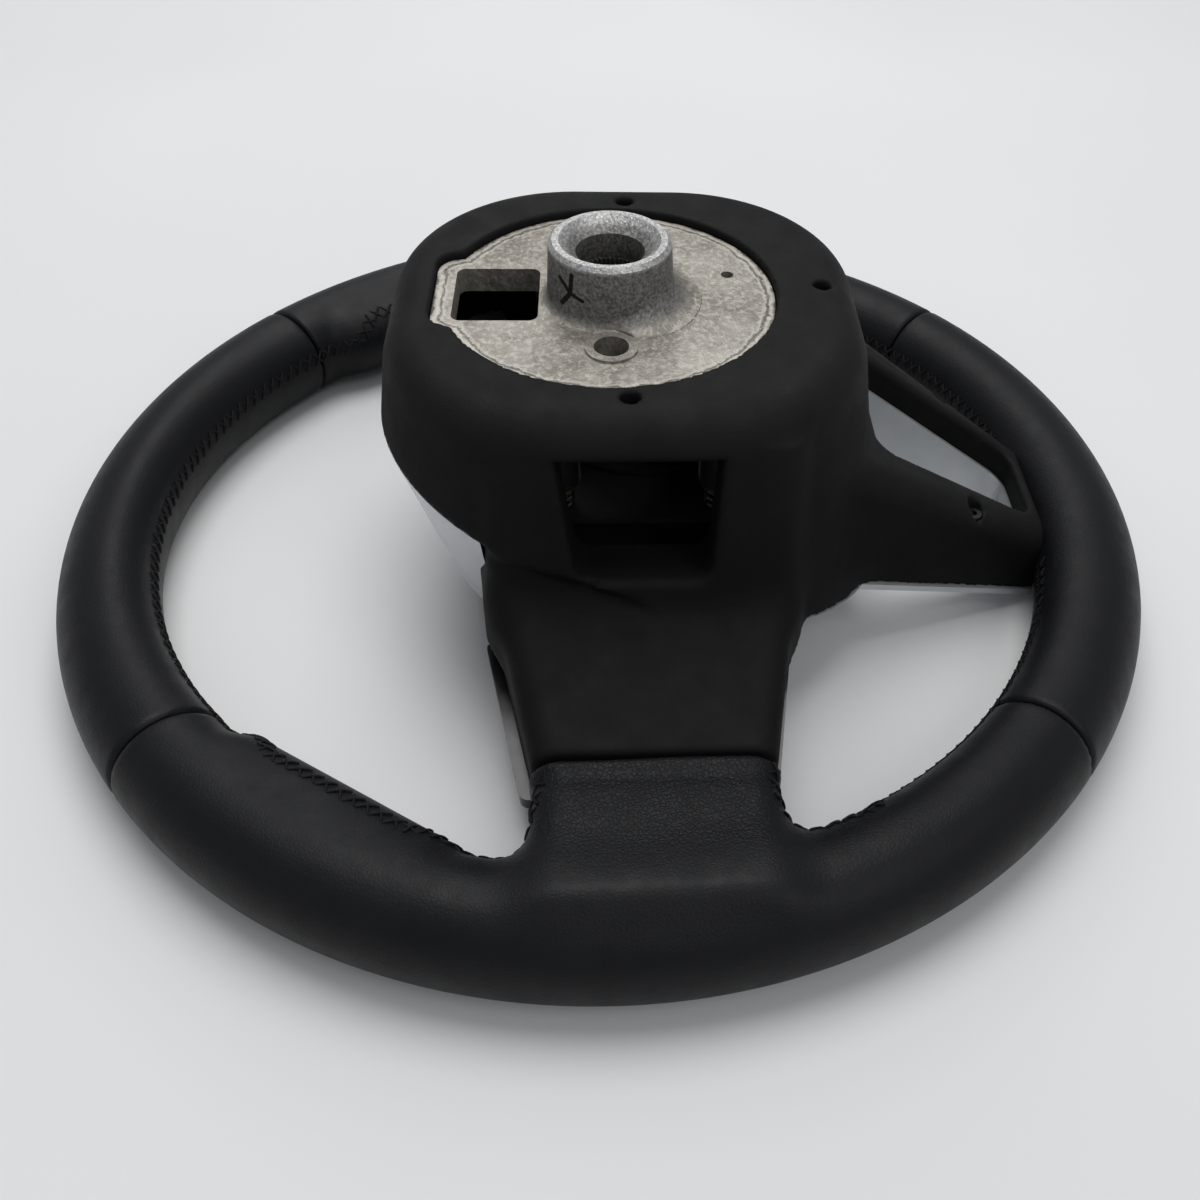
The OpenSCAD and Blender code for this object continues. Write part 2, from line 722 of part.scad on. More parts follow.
pod_w = key_w + 5;
pod_l = 3 * key_pitch + 3;
pod_back = trim_t + 9.5;
stem_r = 2;

// Space in the foam for a switch pod
module pod_pocket() {
    at_pod() translate([0, 0, -20]) linear_extrude(20 + pod_back + 0.3)
        rounded_rect(pod_w + 0.6, pod_l + 0.6, 2);
}

// Tray that carries three keys, with a round guide for the stem of each
module switch_housing_right() {
    color([0.12, 0.12, 0.12]) at_rim() at_pod() difference() {
        translate([0, 0, trim_t + 0.1]) linear_extrude(pod_back - trim_t - 0.1)
            rounded_rect(pod_w, pod_l, 2);
        key_rows() linear_extrude(pod_back - 5)
            rounded_rect(key_w + 2 * key_gap, key_l + 2 * key_gap, 2.4);
        key_rows() translate([0, 0, 1]) cylinder(h = pod_back, r = stem_r + 0.08, $fn = 32);
    }
}

module switch_housing_left() { mirror([1, 0, 0]) switch_housing_right(); }

// Key with a crowned face and a round stem that slides in the housing
module key_solid(row) {
    color([0.06, 0.06, 0.06]) at_rim() at_pod() translate([0, row * key_pitch, 0]) {
        difference() {
            intersection() {
                translate([0, 0, -1.4]) linear_extrude(trim_t + 4) rounded_rect(key_w, key_l, 2);
                translate([0, 0, 58.6]) sphere(60, $fn = smooth);
            }
            translate([0, 0, 2]) linear_extrude(20) rounded_rect(key_w - 3, key_l - 3, 1);
        }
        translate([0, 0, 1]) cylinder(h = pod_back - 2.4, r = stem_r, $fn = 32);
    }
}

module key_right_upper() { key_solid(1); }
module key_right_middle() { key_solid(0); }
module key_right_lower() { key_solid(-1); }
module key_left_upper() { mirror([1, 0, 0]) key_solid(1); }
module key_left_middle() { mirror([1, 0, 0]) key_solid(0); }
module key_left_lower() { mirror([1, 0, 0]) key_solid(-1); }

// Crowned cover of the airbag, with a skirt and an inner wall round the tray
module horn_pad() {
    color([0.09, 0.09, 0.095]) at_rim() {
        difference() {
            hull() for (x = [-1, 1], y = [-1, 1])
                translate([x * (hub_w / 2 - hub_r), y * (hub_l / 2 - hub_r) - hub_drop, 0]) {
                    r = hub_r - pad_inset;
                    translate([0, 0, pad_crown + 6]) cylinder(h = pad_skirt - pad_crown - 6, r = r, $fn = 64);
                    translate([0, 0, pad_crown + 3]) cylinder(h = 0.01, r = r - 1.5, $fn = 64);
                    translate([0, 0, pad_crown + 1]) cylinder(h = 0.01, r = r - 6, $fn = 64);
                    translate([0, 0, pad_crown]) cylinder(h = 0.01, r = r - 15, $fn = 64);
                }
            translate([0, 0, pad_crown + pad_t + 1.5]) linear_extrude(100) hub_outline(pad_inset + pad_t);
        }
        translate([0, tray_y, pad_crown + pad_t]) linear_extrude(pad_wall - pad_crown - pad_t) difference() {
            rounded_rect(tray_w + 5, tray_l + 5, 8);
            rounded_rect(tray_w, tray_l, 6);
        }
    }
}

// Pressed tray: flange with a hole for each guide pin, walls and a round seat
module airbag_tray() {
    color([0.5, 0.5, 0.52]) at_rim() difference() {
        union() {
            translate([0, tray_y, tray_front]) linear_extrude(tray_back - tray_front) difference() {
                rounded_rect(tray_w, tray_l, 6);
                rounded_rect(tray_w - 2 * tray_t, tray_l - 2 * tray_t, 5);
            }
            translate([0, 0, tray_back - tray_t]) linear_extrude(tray_t) {
                translate([0, tray_y]) rounded_rect(tray_w, tray_l, 6);
                translate([0, tray_y]) rounded_rect(pin_span + 16, pin_y_top - pin_y_low + 16, 8);
            }
        }
        translate([0, tray_y, tray_front]) cylinder(h = 60, r = inflator_r + 0.2, $fn = smooth);
        guide_places() translate([0, 0, tray_front]) cylinder(h = 60, r = pin_r, $fn = 48);
    }
}

module airbag_cushion() {
    z0 = pad_crown + pad_t + 2;
    z1 = tray_back - tray_t - 0.2;
    color([0.85, 0.85, 0.82]) at_rim() difference() {
        translate([0, tray_y, z0]) linear_extrude(z1 - z0)
            rounded_rect(tray_w - 2 * tray_t - 1, tray_l - 2 * tray_t - 1, 5);
        translate([0, tray_y, inflator_front - 0.3]) cylinder(h = 60, r = inflator_r + 0.3, $fn = smooth);
    }
}

// Gas generator: a round pressing with a flange that lies on the tray
module gas_generator() {
    color([0.6, 0.6, 0.6]) at_rim() translate([0, tray_y, 0]) rotate_extrude($fn = smooth)
        polygon([[0, inflator_front], [inflator_r - 4, inflator_front], [inflator_r, inflator_front + 4],
                 [inflator_r, tray_back + 0.1], [inflator_r + 4, tray_back + 0.1],
                 [inflator_r + 4, tray_back + 1.9], [inflator_r, tray_back + 1.9],
                 [inflator_r, tray_back + 14], [inflator_r - 5, tray_back + 18], [0, tray_back + 18]]);
}

// Shouldered pins that hold the tray and slide in the casting's bushes
module guide_pins() {
    color([0.7, 0.7, 0.7]) at_rim() guide_places() {
        translate([0, 0, tray_back - tray_t - 3]) cylinder(h = 3, r = pin_r + 2, $fn = 48);
        translate([0, 0, tray_back - tray_t - 1])
            cylinder(h = post_end + bush_l - tray_back + tray_t - 1, r = pin_r, $fn = 48);
    }
}

module guide_bushes() {
    color([0.9, 0.9, 0.85]) at_rim() guide_places() difference() {
        translate([0, 0, post_end]) cylinder(h = bush_l, r = bush_r, $fn = 48);
        translate([0, 0, post_end - 1]) cylinder(h = bush_l + 2, r = pin_r + pin_play, $fn = 48);
    }
}

module horn_contacts() {
    color([0.75, 0.5, 0.3]) at_rim() guide_places() difference() {
        translate([0, 0, post_end - contact_t]) cylinder(h = contact_t, r = bush_r + 2.6, $fn = 48);
        translate([0, 0, post_end - contact_t - 1]) cylinder(h = contact_t + 2, r = pin_r + 0.6, $fn = 48);
    }
}

// Round wire wound with even pitch, as a ring of points round each step
module coil(r, wire, turns, height) {
    steps = 12;
    sides = 6;
    count = turns * steps;
    points = [for (i = [0 : count], k = [0 : sides - 1])
        let (a = i * 360 / steps, b = k * 360 / sides, q = r + wire * cos(b))
        [q * cos(a), q * sin(a), wire + (height - 2 * wire) * i / count + wire * sin(b)]];
    walls = [for (i = [0 : count - 1], k = [0 : sides - 1])
        let (n = (k + 1) % sides, p = i * sides, q = p + sides)
        [p + k, q + k, q + n, p + n]];
    ends = [[for (k = [0 : sides - 1]) k], [for (k = [sides - 1 : -1 : 0]) count * sides + k]];
    polyhedron(points, concat(walls, ends));
}

module horn_springs() {
    color([0.55, 0.55, 0.57]) at_rim() guide_places()
        translate([0, 0, tray_back + 0.1]) coil(bush_r + 0.6, 0.7, 3, spring_gap - 0.1);
}

module bezel_screws() {
    head_z = low_back(screw_y) - low_front(screw_y) - arm_depth + 2;
    color([0.2, 0.2, 0.2]) at_rim() screw_places() {
        translate([0, 0, head_z]) difference() {
            cylinder(h = 2.4, r = tool_hole_r - 0.2, $fn = 32);
            translate([0, 0, 1]) cylinder(h = 2, r = 1.4, $fn = 6);
        }
        translate([0, 0, post_h - 8.8]) cylinder(h = head_z - post_h + 9, r = screw_r, $fn = 32);
    }
}

armature();
foam_body();
leather_upper();
leather_lower();
leather_left();
leather_right();
front_bezel();
spoke_trim_left();
spoke_trim_right();
switch_housing_left();
switch_housing_right();
key_left_upper();
key_left_middle();
key_left_lower();
key_right_upper();
key_right_middle();
key_right_lower();
horn_pad();
airbag_tray();
airbag_cushion();
gas_generator();
guide_pins();
guide_bushes();
horn_springs();
horn_contacts();
bezel_screws();
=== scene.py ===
import bpy
import json
import math
import numpy as np
import openvdb as vdb
from mathutils import Matrix, Vector


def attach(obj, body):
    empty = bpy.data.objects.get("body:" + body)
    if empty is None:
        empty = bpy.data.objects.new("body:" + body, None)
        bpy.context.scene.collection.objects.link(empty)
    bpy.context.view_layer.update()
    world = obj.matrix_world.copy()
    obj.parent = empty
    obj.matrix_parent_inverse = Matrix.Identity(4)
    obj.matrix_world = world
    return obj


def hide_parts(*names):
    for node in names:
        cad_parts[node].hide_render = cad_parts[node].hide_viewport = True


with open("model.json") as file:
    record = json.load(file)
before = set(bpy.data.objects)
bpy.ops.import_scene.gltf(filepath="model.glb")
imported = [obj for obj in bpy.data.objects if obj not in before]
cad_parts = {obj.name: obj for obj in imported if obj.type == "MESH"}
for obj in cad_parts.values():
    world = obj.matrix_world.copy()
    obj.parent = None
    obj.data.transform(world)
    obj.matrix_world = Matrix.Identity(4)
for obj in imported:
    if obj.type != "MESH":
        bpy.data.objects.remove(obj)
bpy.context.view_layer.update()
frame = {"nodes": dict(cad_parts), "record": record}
nodes = frame["nodes"]
MM = 0.001
RIM_Z = 17.5        # height of the rim's middle plane over the floor, mm


# Node materials, with sizes in metres

class Shader:
    """A material whose colour, roughness and relief are worked out from the place on the piece"""

    def __init__(self, name):
        self.material = bpy.data.materials.new(name)
        self.material.use_nodes = True
        self.tree = self.material.node_tree
        self.surface = self.tree.nodes["Principled BSDF"]
        self.place = self.tree.nodes.new("ShaderNodeTexCoord").outputs["Object"]

    def put(self, value, socket):
        """A number or a colour is set on the socket, and another node's result is linked to it"""
        if isinstance(value, bpy.types.NodeSocket):
            self.tree.links.new(value, socket)
        elif isinstance(value, tuple):
            socket.default_value = (*value, 1)
        else:
            socket.default_value = value

    def noise(self, scale, detail=3.0, rough=0.55, distort=0.0):
        node = self.tree.nodes.new("ShaderNodeTexNoise")
        for name, value in (("Vector", self.place), ("Scale", scale), ("Detail", detail),
                            ("Roughness", rough), ("Distortion", distort)):
            self.put(value, node.inputs[name])
        return node.outputs["Fac"]

    def cell_edges(self, scale):
        node = self.tree.nodes.new("ShaderNodeTexVoronoi")
        node.feature = "DISTANCE_TO_EDGE"
        self.put(self.place, node.inputs["Vector"])
        self.put(scale, node.inputs["Scale"])
        return node.outputs["Distance"]

    def bands(self, scale, direction="X", distort=0.0):
        node = self.tree.nodes.new("ShaderNodeTexWave")
        node.bands_direction = direction
        self.put(self.place, node.inputs["Vector"])
        self.put(scale, node.inputs["Scale"])
        self.put(distort, node.inputs["Distortion"])
        return node.outputs["Fac"]

    def remap(self, value, start, end, first, last, smooth=False):
        """first where value is start, last where it is end, and between them in between"""
        node = self.tree.nodes.new("ShaderNodeMapRange")
        if smooth:
            node.interpolation_type = "SMOOTHSTEP"
        for name, number in (("Value", value), ("From Min", start), ("From Max", end),
                             ("To Min", first), ("To Max", last)):
            self.put(number, node.inputs[name])
        return node.outputs["Result"]

    def calc(self, operation, *values):
        node = self.tree.nodes.new("ShaderNodeMath")
        node.operation = operation
        for value, socket in zip(values, node.inputs):
            self.put(value, socket)
        return node.outputs[0]

    def total(self, a, b):
        return self.calc("ADD", a, b)

    def less(self, a, b):
        return self.calc("SUBTRACT", a, b)

    def product(self, a, b):
        return self.calc("MULTIPLY", a, b)

    def size_of(self, a):
        return self.calc("ABSOLUTE", a)

    def length(self, a, b):
        return self.calc("SQRT", self.total(self.product(a, a), self.product(b, b)))

    def mix(self, share, first, second):
        node = self.tree.nodes.new("ShaderNodeMix")
        node.data_type = "RGBA"
        self.put(share, node.inputs[0])
        self.put(first, node.inputs[6])
        self.put(second, node.inputs[7])
        return node.outputs[2]

    def bump(self, height, distance, strength=1.0, under=None):
        node = self.tree.nodes.new("ShaderNodeBump")
        self.put(height, node.inputs["Height"])
        self.put(distance, node.inputs["Distance"])
        self.put(strength, node.inputs["Strength"])
        if under is not None:
            self.put(under, node.inputs["Normal"])
        return node.outputs["Normal"]

    def axes(self):
        node = self.tree.nodes.new("ShaderNodeSeparateXYZ")
        self.put(self.place, node.inputs[0])
        return node.outputs[0], node.outputs[1], node.outputs[2]

    def segment_distance(self, u, w, start, end):
        """Distance in a plane from (u, w) to the stroke between two points"""
        run_u, run_w = end[0] - start[0], end[1] - start[1]
        along = self.total(self.product(self.less(u, start[0]), run_u),
                           self.product(self.less(w, start[1]), run_w))
        share = self.remap(along, 0, run_u * run_u + run_w * run_w, 0, 1)
        return self.length(self.less(u, self.total(self.product(share, run_u), start[0])),
                           self.less(w, self.total(self.product(share, run_w), start[1])))

    def apply(self, **values):
        """Sets the surface's inputs, each named in small letters with underscores"""
        for name, value in values.items():
            title = "Specular IOR Level" if name == "specular" else name.replace("_", " ").title()
            self.put(value, self.surface.inputs[title])
        return self.material


def leather_material():
    shader = Shader("leather_black")
    cloud = shader.remap(shader.noise(22, 3), 0.3, 0.7, 0, 1)
    # the grain is coarser and more creased over the spoke roots than round the rim
    x, y, _ = shader.axes()
    near_x = shader.remap(shader.size_of(x), 0.132, 0.168, 1, 0, True)
    near_y = shader.remap(shader.size_of(shader.total(y, 0.011)), 0.035, 0.085, 1, 0, True)
    amount = shader.total(shader.product(shader.product(near_x, near_y), 0.62), 0.2)
    pebble = shader.remap(shader.cell_edges(760), 0.0, 0.22, 0, 1, True)
    crease = shader.noise(240, 4, 0.62, 1.2)
    grain = shader.product(pebble, amount)
    grain = shader.total(grain, shader.product(crease, shader.product(amount, 1.6)))
    grain = shader.total(grain, shader.product(shader.noise(1900, 2), 0.22))
    fine = shader.bump(grain, 0.00016, 0.75)
    return shader.apply(
        base_color=shader.mix(cloud, (0.0036, 0.0038, 0.0046), (0.0058, 0.0060, 0.0070)),
        normal=shader.bump(shader.noise(38, 2), 0.0009, 0.35, fine),
        roughness=shader.remap(shader.noise(130, 3), 0.3, 0.7, 0.42, 0.53),
        specular=0.18)


def foam_material():
    shader = Shader("foam_black")
    cloud = shader.remap(shader.noise(35, 4), 0.3, 0.7, 0, 1)
    skin = shader.total(shader.noise(2100, 2, 0.6), shader.product(shader.noise(700, 3, 0.6), 0.8))
    fine = shader.bump(skin, 0.00016, 0.8)
    return shader.apply(
        base_color=shader.mix(cloud, (0.0044, 0.0044, 0.0046), (0.0070, 0.0070, 0.0072)),
        normal=shader.bump(shader.noise(45, 2), 0.0008, 0.25, fine),
        roughness=shader.remap(shader.noise(90, 3), 0.3, 0.7, 0.62, 0.74),
        specular=0.14)


# the bare field's lobe round the window: middle, half sides within its corners, corner radius
LOBE_MIDDLE, LOBE_HALF, LOBE_CORNER = (0.001, 0.036), (0.013, 0.010), 0.008
FIELD_RADIUS = 0.051
# lines where the mould's halves met: offset from the field's edge, half width, colour, strength
FLASH_LINES = (
    (-0.0036, 0.0006, (0.50, 0.475, 0.42), 0.5),
    (-0.0026, 0.0005, (0.07, 0.065, 0.055), 0.7),
    (-0.0014, 0.0007, (0.55, 0.52, 0.46), 0.6),
    (0.0004, 0.0009, (0.03, 0.028, 0.025), 0.9),
)
# the pen's strokes on the boss's near side, each between two points in Y and Z
PEN_CROSSING = (0.0119, 0.1178)
PEN_STROKES = (
    ((0.0148, 0.1212), PEN_CROSSING),
    (PEN_CROSSING, (0.0084, 0.1165)),
    ((0.0113, 0.1238), PEN_CROSSING),
    (PEN_CROSSING, (0.0145, 0.1134)),
)


def mottled_alloy(shader):
    """Warm grey with clouds, stains and light specks"""
    patch = shader.remap(shader.noise(26, 5, 0.6, 1.1), 0.36, 0.64, 0, 1)
    tint = shader.mix(patch, (0.20, 0.183, 0.152), (0.36, 0.337, 0.295))
    stain = shader.remap(shader.noise(62, 4, 0.65, 1.6), 0.5, 0.66, 0, 1, True)
    tint = shader.mix(shader.product(stain, 0.6), tint, (0.15, 0.13, 0.105))
    specks = shader.remap(shader.noise(520, 3, 0.7), 0.47, 0.62, 0.0, 1.0)
    return shader.mix(shader.product(specks, 0.4), tint, (0.58, 0.56, 0.52))


def with_flash_lines(shader, tint, x, y, radius):
    """Ragged lines round the edge of the bare field"""
    lobe = [shader.calc("MAXIMUM", shader.less(shader.size_of(shader.less(value, middle)), half), 0)
            for value, middle, half in zip((x, y), LOBE_MIDDLE, LOBE_HALF)]
    field = shader.calc("MINIMUM", shader.less(radius, FIELD_RADIUS),
                        shader.less(shader.length(*lobe), LOBE_CORNER))
    ragged = shader.product(shader.less(shader.noise(140, 5, 0.8), 0.5), 0.0052)
    edge = shader.total(field, ragged)
    for offset, half, colour, strength in FLASH_LINES:
        away = shader.size_of(shader.less(edge, offset))
        tint = shader.mix(shader.remap(away, half * 0.4, half, strength, 0, True), tint, colour)
    return tint


def cast_material():
    shader = Shader("cast_alloy")
    x, y, z = shader.axes()
    radius = shader.length(x, y)
    tint = mottled_alloy(shader)
    # the boss is grey and stippled, with painted shade that makes it darker than the plate
    stipple = shader.remap(shader.noise(980, 3, 0.7), 0.4, 0.62, 0, 1)
    boss_stipple_and_shade = shader.product(shader.remap(radius, 0.0200, 0.0270, 1, 0, True),
                             shader.remap(z, 0.1080, 0.1115, 0, 1, True))
    tint = shader.mix(boss_stipple_and_shade, tint, shader.mix(stipple, (0.12, 0.116, 0.108), (0.29, 0.285, 0.27)))
    tint = with_flash_lines(shader, tint, x, y, radius)
    on_near_side = shader.remap(x, -0.0100, -0.0090, 1, 0)
    for start, end in PEN_STROKES:
        mark = shader.remap(shader.segment_distance(y, z, start, end), 0.00045, 0.0008, 1, 0, True)
        tint = shader.mix(shader.product(mark, on_near_side), tint, (0.006, 0.006, 0.007))
    # the boss's top end is smoother, and painted brighter as a painted highlight
    smooth_top_highlight = shader.remap(z, 0.1250, 0.1264, 0, 1, True)
    tint = shader.mix(smooth_top_highlight, tint, shader.mix(stipple, (0.27, 0.27, 0.26), (0.52, 0.52, 0.51)))
    # the arms that the foam covers are as dark as the foam where a gap shows them
    covered = shader.product(shader.remap(shader.size_of(x), 0.047, 0.049, 0, 1),
                             shader.remap(z, 0.0990, 0.1005, 1, 0))
    tint = shader.mix(covered, tint, (0.012, 0.012, 0.012))
    # painted shade inside the boss's bore, darker deeper down
    bore_painted_shade = shader.product(shader.remap(radius, 0.0104, 0.0110, 1, 0, True),
                          shader.remap(z, 0.112, 0.122, 0.8, 0, True))
    pits = shader.total(shader.noise(1050, 3, 0.65), shader.product(shader.noise(260, 3, 0.6), 1.2))
    return shader.apply(
        base_color=shader.mix(bore_painted_shade, tint, (0.05, 0.048, 0.045)),
        normal=shader.bump(shader.noise(60, 3), 0.0014, 0.5, shader.bump(pits, 0.00026, 1.0)),
        roughness=shader.remap(smooth_top_highlight, 0, 1, 0.52, 0.36),
        metallic=0.6)


def plain_material(name, dark, light, rough, grain=0.00008, scale=1500, specular=0.45, coat=0.0,
                   metallic=0.0):
    """A paint, plastic or bare metal with a little cloud in its colour and roughness"""
    shader = Shader(name)
    shader.apply(
        base_color=shader.mix(shader.remap(shader.noise(60, 3), 0.3, 0.7, 0, 1), dark, light),
        roughness=shader.remap(shader.noise(210, 3), 0.3, 0.7, *rough),
        normal=shader.bump(shader.noise(scale, 2), grain, 0.6),
        specular=specular,
        metallic=metallic)
    if coat:
        shader.apply(coat_weight=coat, coat_roughness=0.08)
    return shader.material


def thread_material():
    shader = Shader("thread_black")
    twist = shader.bands(900, distort=1.5)
    return shader.apply(
        base_color=shader.mix(twist, (0.002, 0.002, 0.003), (0.008, 0.008, 0.009)),
        normal=shader.bump(twist, 0.0001, 0.8),
        roughness=0.6,
        specular=0.2)


def cloth_material():
    shader = Shader("cushion_cloth")
    weave = shader.calc("MAXIMUM", shader.bands(420, "X"), shader.bands(420, "Y"))
    return shader.apply(
        base_color=shader.mix(weave, (0.52, 0.50, 0.45), (0.72, 0.70, 0.64)),
        normal=shader.bump(weave, 0.0002, 0.8),
        roughness=0.85)


LEATHER = leather_material()
FOAM = foam_material()
CAST = cast_material()
THREAD = thread_material()
CLOTH = cloth_material()
BY_SLOT = {
    "cast_alloy": CAST,
    "foam": FOAM,
    "leather": LEATHER,
    "cushion_fabric": CLOTH,
    "silver_paint": plain_material("silver_paint", (0.50, 0.52, 0.54), (0.56, 0.58, 0.60), (0.30, 0.38),
                                   0.00003, 2500, 0.5, 0.25, 0.55),
    "gloss_black": plain_material("gloss_black", (0.0035, 0.0035, 0.0038), (0.0048, 0.0048, 0.005),
                                  (0.16, 0.22), 0.00001, 900, 0.4),
    "black_plastic": plain_material("black_plastic", (0.012, 0.012, 0.012), (0.018, 0.018, 0.018),
                                    (0.48, 0.6)),
    "key_plastic": plain_material("key_plastic", (0.014, 0.014, 0.015), (0.02, 0.02, 0.021),
                                  (0.32, 0.42), 0.00006, 2200),
    "pad_skin": plain_material("pad_skin", (0.014, 0.014, 0.0145), (0.019, 0.019, 0.0195),
                               (0.52, 0.64), 0.00018, 1100),
    "zinc_steel": plain_material("zinc_steel", (0.36, 0.37, 0.37), (0.46, 0.47, 0.47), (0.28, 0.42),
                                 0.00005, 1300, 0.5, metallic=0.95),
    "spring_steel": plain_material("spring_steel", (0.40, 0.40, 0.40), (0.50, 0.50, 0.50), (0.22, 0.32),
                                   0.00003, 1800, 0.5, metallic=1.0),
    "contact_brass": plain_material("contact_brass", (0.50, 0.34, 0.13), (0.62, 0.44, 0.18), (0.28, 0.42),
                                    0.00004, 1300, 0.5, metallic=1.0),
    "white_plastic": plain_material("bush_plastic", (0.62, 0.61, 0.56), (0.70, 0.69, 0.64), (0.42, 0.52),
                                    0.00005, 1300),
    "black_steel": plain_material("black_steel", (0.02, 0.02, 0.02), (0.035, 0.035, 0.035), (0.35, 0.5),
                                  0.00005, 1300, 0.5, metallic=0.7),
}
SLOT_OF = {row["node"]: row["material_slot"] for row in frame["record"]["subparts"]}
for name, node in nodes.items():
    node.data.materials.clear()
    node.data.materials.append(BY_SLOT[SLOT_OF[name]])


# Fields of distance in mm, with z = 0 in the rim's middle plane

def smooth_union(a, b, reach):
    share = np.clip(0.5 + 0.5 * (b - a) / reach, 0, 1)
    return b * (1 - share) + a * share - reach * share * (1 - share)


def smooth_cut(a, b, reach):
    return -smooth_union(-a, -b, reach)


def round_cut(a, b, radius):
    """Intersection whose edge is round"""
    inner = np.minimum(np.maximum(a, b), -radius)
    return inner + np.hypot(np.maximum(a + radius, 0), np.maximum(b + radius, 0))


def rectangle(x, y, half_x, half_y, corner):
    """Rectangle with round corners"""
    over_x, over_y = np.abs(x) - half_x + corner, np.abs(y) - half_y + corner
    outside = np.hypot(np.maximum(over_x, 0), np.maximum(over_y, 0))
    return outside + np.minimum(np.maximum(over_x, over_y), 0) - corner


def slopes(field, points, step):
    """The field at the points, and its rise along each axis over one step"""
    value = field(*points.T)
    rises = [field(*(points + step * np.eye(3)[axis]).T) - value for axis in range(3)]
    return value, np.stack(rises, 1)


def mesh_of(field, low, high, cell, name, rounds=3):
    """Closed mesh of the zero surface of a field, each vertex set on that surface"""
    counts = [int(math.ceil((b - a) / cell)) + 1 for a, b in zip(low, high)]
    x, y, z = (low[i] + cell * np.arange(counts[i], dtype=np.float32) for i in range(3))
    values = field(x[:, None, None], y[None, :, None], z[None, None, :])
    values = np.ascontiguousarray(np.broadcast_to(values, counts), dtype=np.float32) / cell
    band = 3.0
    grid = vdb.FloatGrid(band)
    grid.copyFromArray(np.clip(values, -band, band))
    out = grid.convertToQuads(isovalue=0.0)
    points = np.array(out[0], dtype=np.float64) * cell + np.array(low)
    quads = np.array(out[1], dtype=np.int64)
    probe, longest = 0.25, 0.6 * cell
    for _ in range(rounds):
        value, rises = slopes(field, points, probe)
        rises = rises / probe
        step = value[:, None] * rises / np.maximum((rises * rises).sum(1), 0.25)[:, None]
        points -= np.clip(step, -longest, longest)
    a, b, c = (points[quads[:, i]] for i in range(3))
    if np.einsum("ij,ij->i", a, np.cross(b, c)).sum() < 0:
        quads = quads[:, ::-1]
    return build_mesh(name, points, quads)


def build_mesh(name, points, faces):
    points = np.array(points, dtype=np.float64) * MM
    points[:, 2] += RIM_Z * MM
    mesh = bpy.data.meshes.new(name)
    mesh.vertices.add(len(points))
    mesh.vertices.foreach_set("co", points.astype(np.float32).ravel())
    sides = faces.shape[1]
    mesh.loops.add(faces.size)
    mesh.loops.foreach_set("vertex_index", faces.ravel().astype(np.int32))
    mesh.polygons.add(len(faces))
    mesh.polygons.foreach_set("loop_start", np.arange(0, faces.size, sides, dtype=np.int32))
    mesh.polygons.foreach_set("loop_total", np.full(len(faces), sides, dtype=np.int32))
    mesh.update(calc_edges=True)
    mesh.validate()
    mesh.polygons.foreach_set("use_smooth", np.ones(len(mesh.polygons), dtype=bool))
    return place(bpy.data.objects.new(name, mesh))


def place(obj):
    bpy.context.collection.objects.link(obj)
    return obj


def dress(obj, material, body="wheel", replaces=()):
    obj.data.materials.append(material)
    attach(obj, body)
    if replaces:
        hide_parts(*replaces)
    return obj


def grid_quads(rings, sides, closed):
    """Quads between rings of points, from the last ring to the first as well if closed"""
    ring, side = np.meshgrid(np.arange(rings if closed else rings - 1), np.arange(sides), indexing="ij")
    here, ahead = ring * sides, (ring + 1) % rings * sides
    beside = (side + 1) % sides
    return np.stack([here + side, ahead + side, ahead + beside, here + beside], -1).reshape(-1, 4)


# The leather rim

RIM_RADIUS, GRIP_RADIUS = 167.5, 17.5
TOP_SLIMMING = 4.5
UPPER_SEAM, LOWER_SEAM = math.radians(39), math.radians(140)
SEAM_GAP, SEAM_ROUND = 0.2, 2.0
REST_ANGLE, REST_REACH, REST_RADIUS = math.radians(57), 156, 14.5
REST_ENDS = (-28, 36)
ROOT_Y, ROOT_Z = -11, 5.2
ROOT_HALF_WIDTH, ROOT_HALF_HEIGHT, ROOT_CORNER = 35, 13.2, 9
ROOT_END, ROOT_OUTER = 122.9, 166


def rim_field(x, y, z):
    """The whole leather rim with its thumb rests and spoke roots"""
    across = np.abs(x)
    radius = np.hypot(x, y)
    top = (y / np.maximum(radius, 1) - math.cos(UPPER_SEAM)) / (1 - math.cos(UPPER_SEAM))
    slimming = TOP_SLIMMING * np.clip(top, 0, 1)
    inward = radius - RIM_RADIUS
    inward = np.where(inward < 0, inward * GRIP_RADIUS / (GRIP_RADIUS - slimming), inward)
    ring = np.hypot(inward, z) - GRIP_RADIUS
    # thumb rest: a round bar along the chord
    sine, cosine = math.sin(REST_ANGLE), math.cos(REST_ANGLE)
    from_x, from_y = across - REST_REACH * sine, y - REST_REACH * cosine
    along = from_x * cosine - from_y * sine
    outward = from_x * sine + from_y * cosine
    past_end = along - np.clip(along, *REST_ENDS)
    bar = np.sqrt(past_end * past_end + outward * outward + z * z) - REST_RADIUS
    ring = smooth_union(ring, bar, 4.0)
    # spoke root, with a raised lip and a groove at the foam's end
    lip = 0.75 * np.exp(-((across - 124.6) / 1.7) ** 2) - 0.45 * np.exp(-((across - 129.5) / 2.6) ** 2)
    section = rectangle(y - ROOT_Y, z - ROOT_Z, ROOT_HALF_WIDTH, ROOT_HALF_HEIGHT, ROOT_CORNER) - lip
    end = ROOT_END + 0.5 * np.sin(y * 0.09 + 0.6)
    root = round_cut(round_cut(section, end - across, 1.7), across - ROOT_OUTER, 2.0)
    return smooth_union(ring, root, 12.0)


def past_seam(x, y, angle):
    """Distance past the plane through the wheel's axis at an angle from 12 o'clock"""
    return np.abs(x) * math.cos(angle) - y * math.sin(angle)


